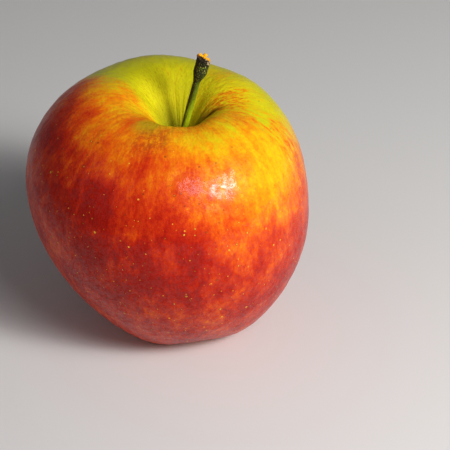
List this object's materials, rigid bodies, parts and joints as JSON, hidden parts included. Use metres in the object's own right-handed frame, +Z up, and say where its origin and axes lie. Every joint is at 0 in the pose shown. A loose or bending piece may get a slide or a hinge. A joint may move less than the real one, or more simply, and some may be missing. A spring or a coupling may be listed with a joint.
{
  "type": "apple",
  "caption": "Fresh apple as picked: a lopsided round fruit with a stem in its cavity and a dried calyx in its basin, resting on the lobes of its base.",
  "frame": {"origin": "on the surface the apple stands on, under the middle of its width and depth", "axes": "+Z up, from the calyx to the stem; -Y is the front, +X is the side the stem leans to"},
  "size_m": [0.0772, 0.0789, 0.0813],
  "materials": {
    "skin": "gloss",
    "stem": "matte",
    "calyx": "matte"
  },
  "bodies": {
    "root": {"fruit": "skin", "stem": "stem", "calyx": "calyx"}
  },
  "joints": []
}
